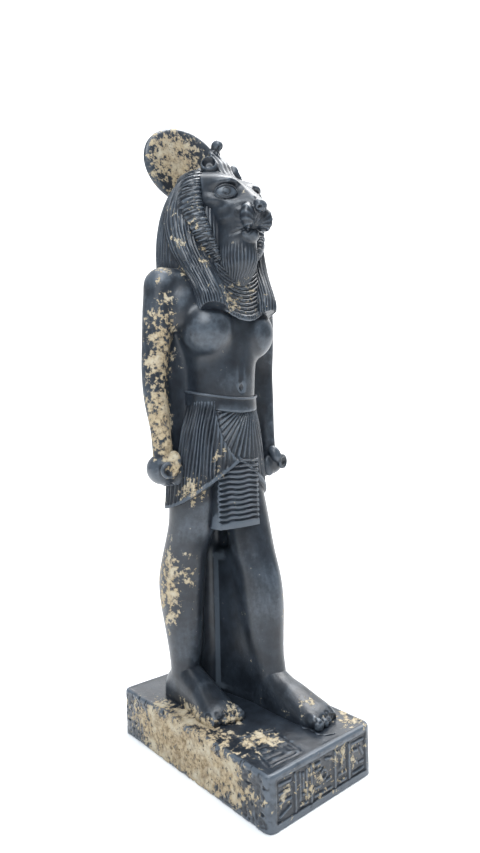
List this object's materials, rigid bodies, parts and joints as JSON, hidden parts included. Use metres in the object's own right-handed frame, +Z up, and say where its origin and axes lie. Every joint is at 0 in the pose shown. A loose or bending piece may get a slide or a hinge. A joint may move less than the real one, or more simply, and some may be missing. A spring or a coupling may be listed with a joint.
{
  "type": "egyptian statue",
  "caption": "Small standing lioness-headed figure with a sun disc, wig, pleated kilt and arms at the sides, striding on an oblong inscribed base.",
  "frame": {"origin": "middle of the underside of the base", "axes": "+Z up; the figure and the end of the base that it steps towards face -Y; its own left side is +X"},
  "size_m": [0.0894, 0.1216, 0.3458],
  "materials": {
    "black_stone": "satin black stone with a sandy ochre patina"
  },
  "bodies": {
    "root": {"statue": "black_stone"}
  },
  "joints": []
}
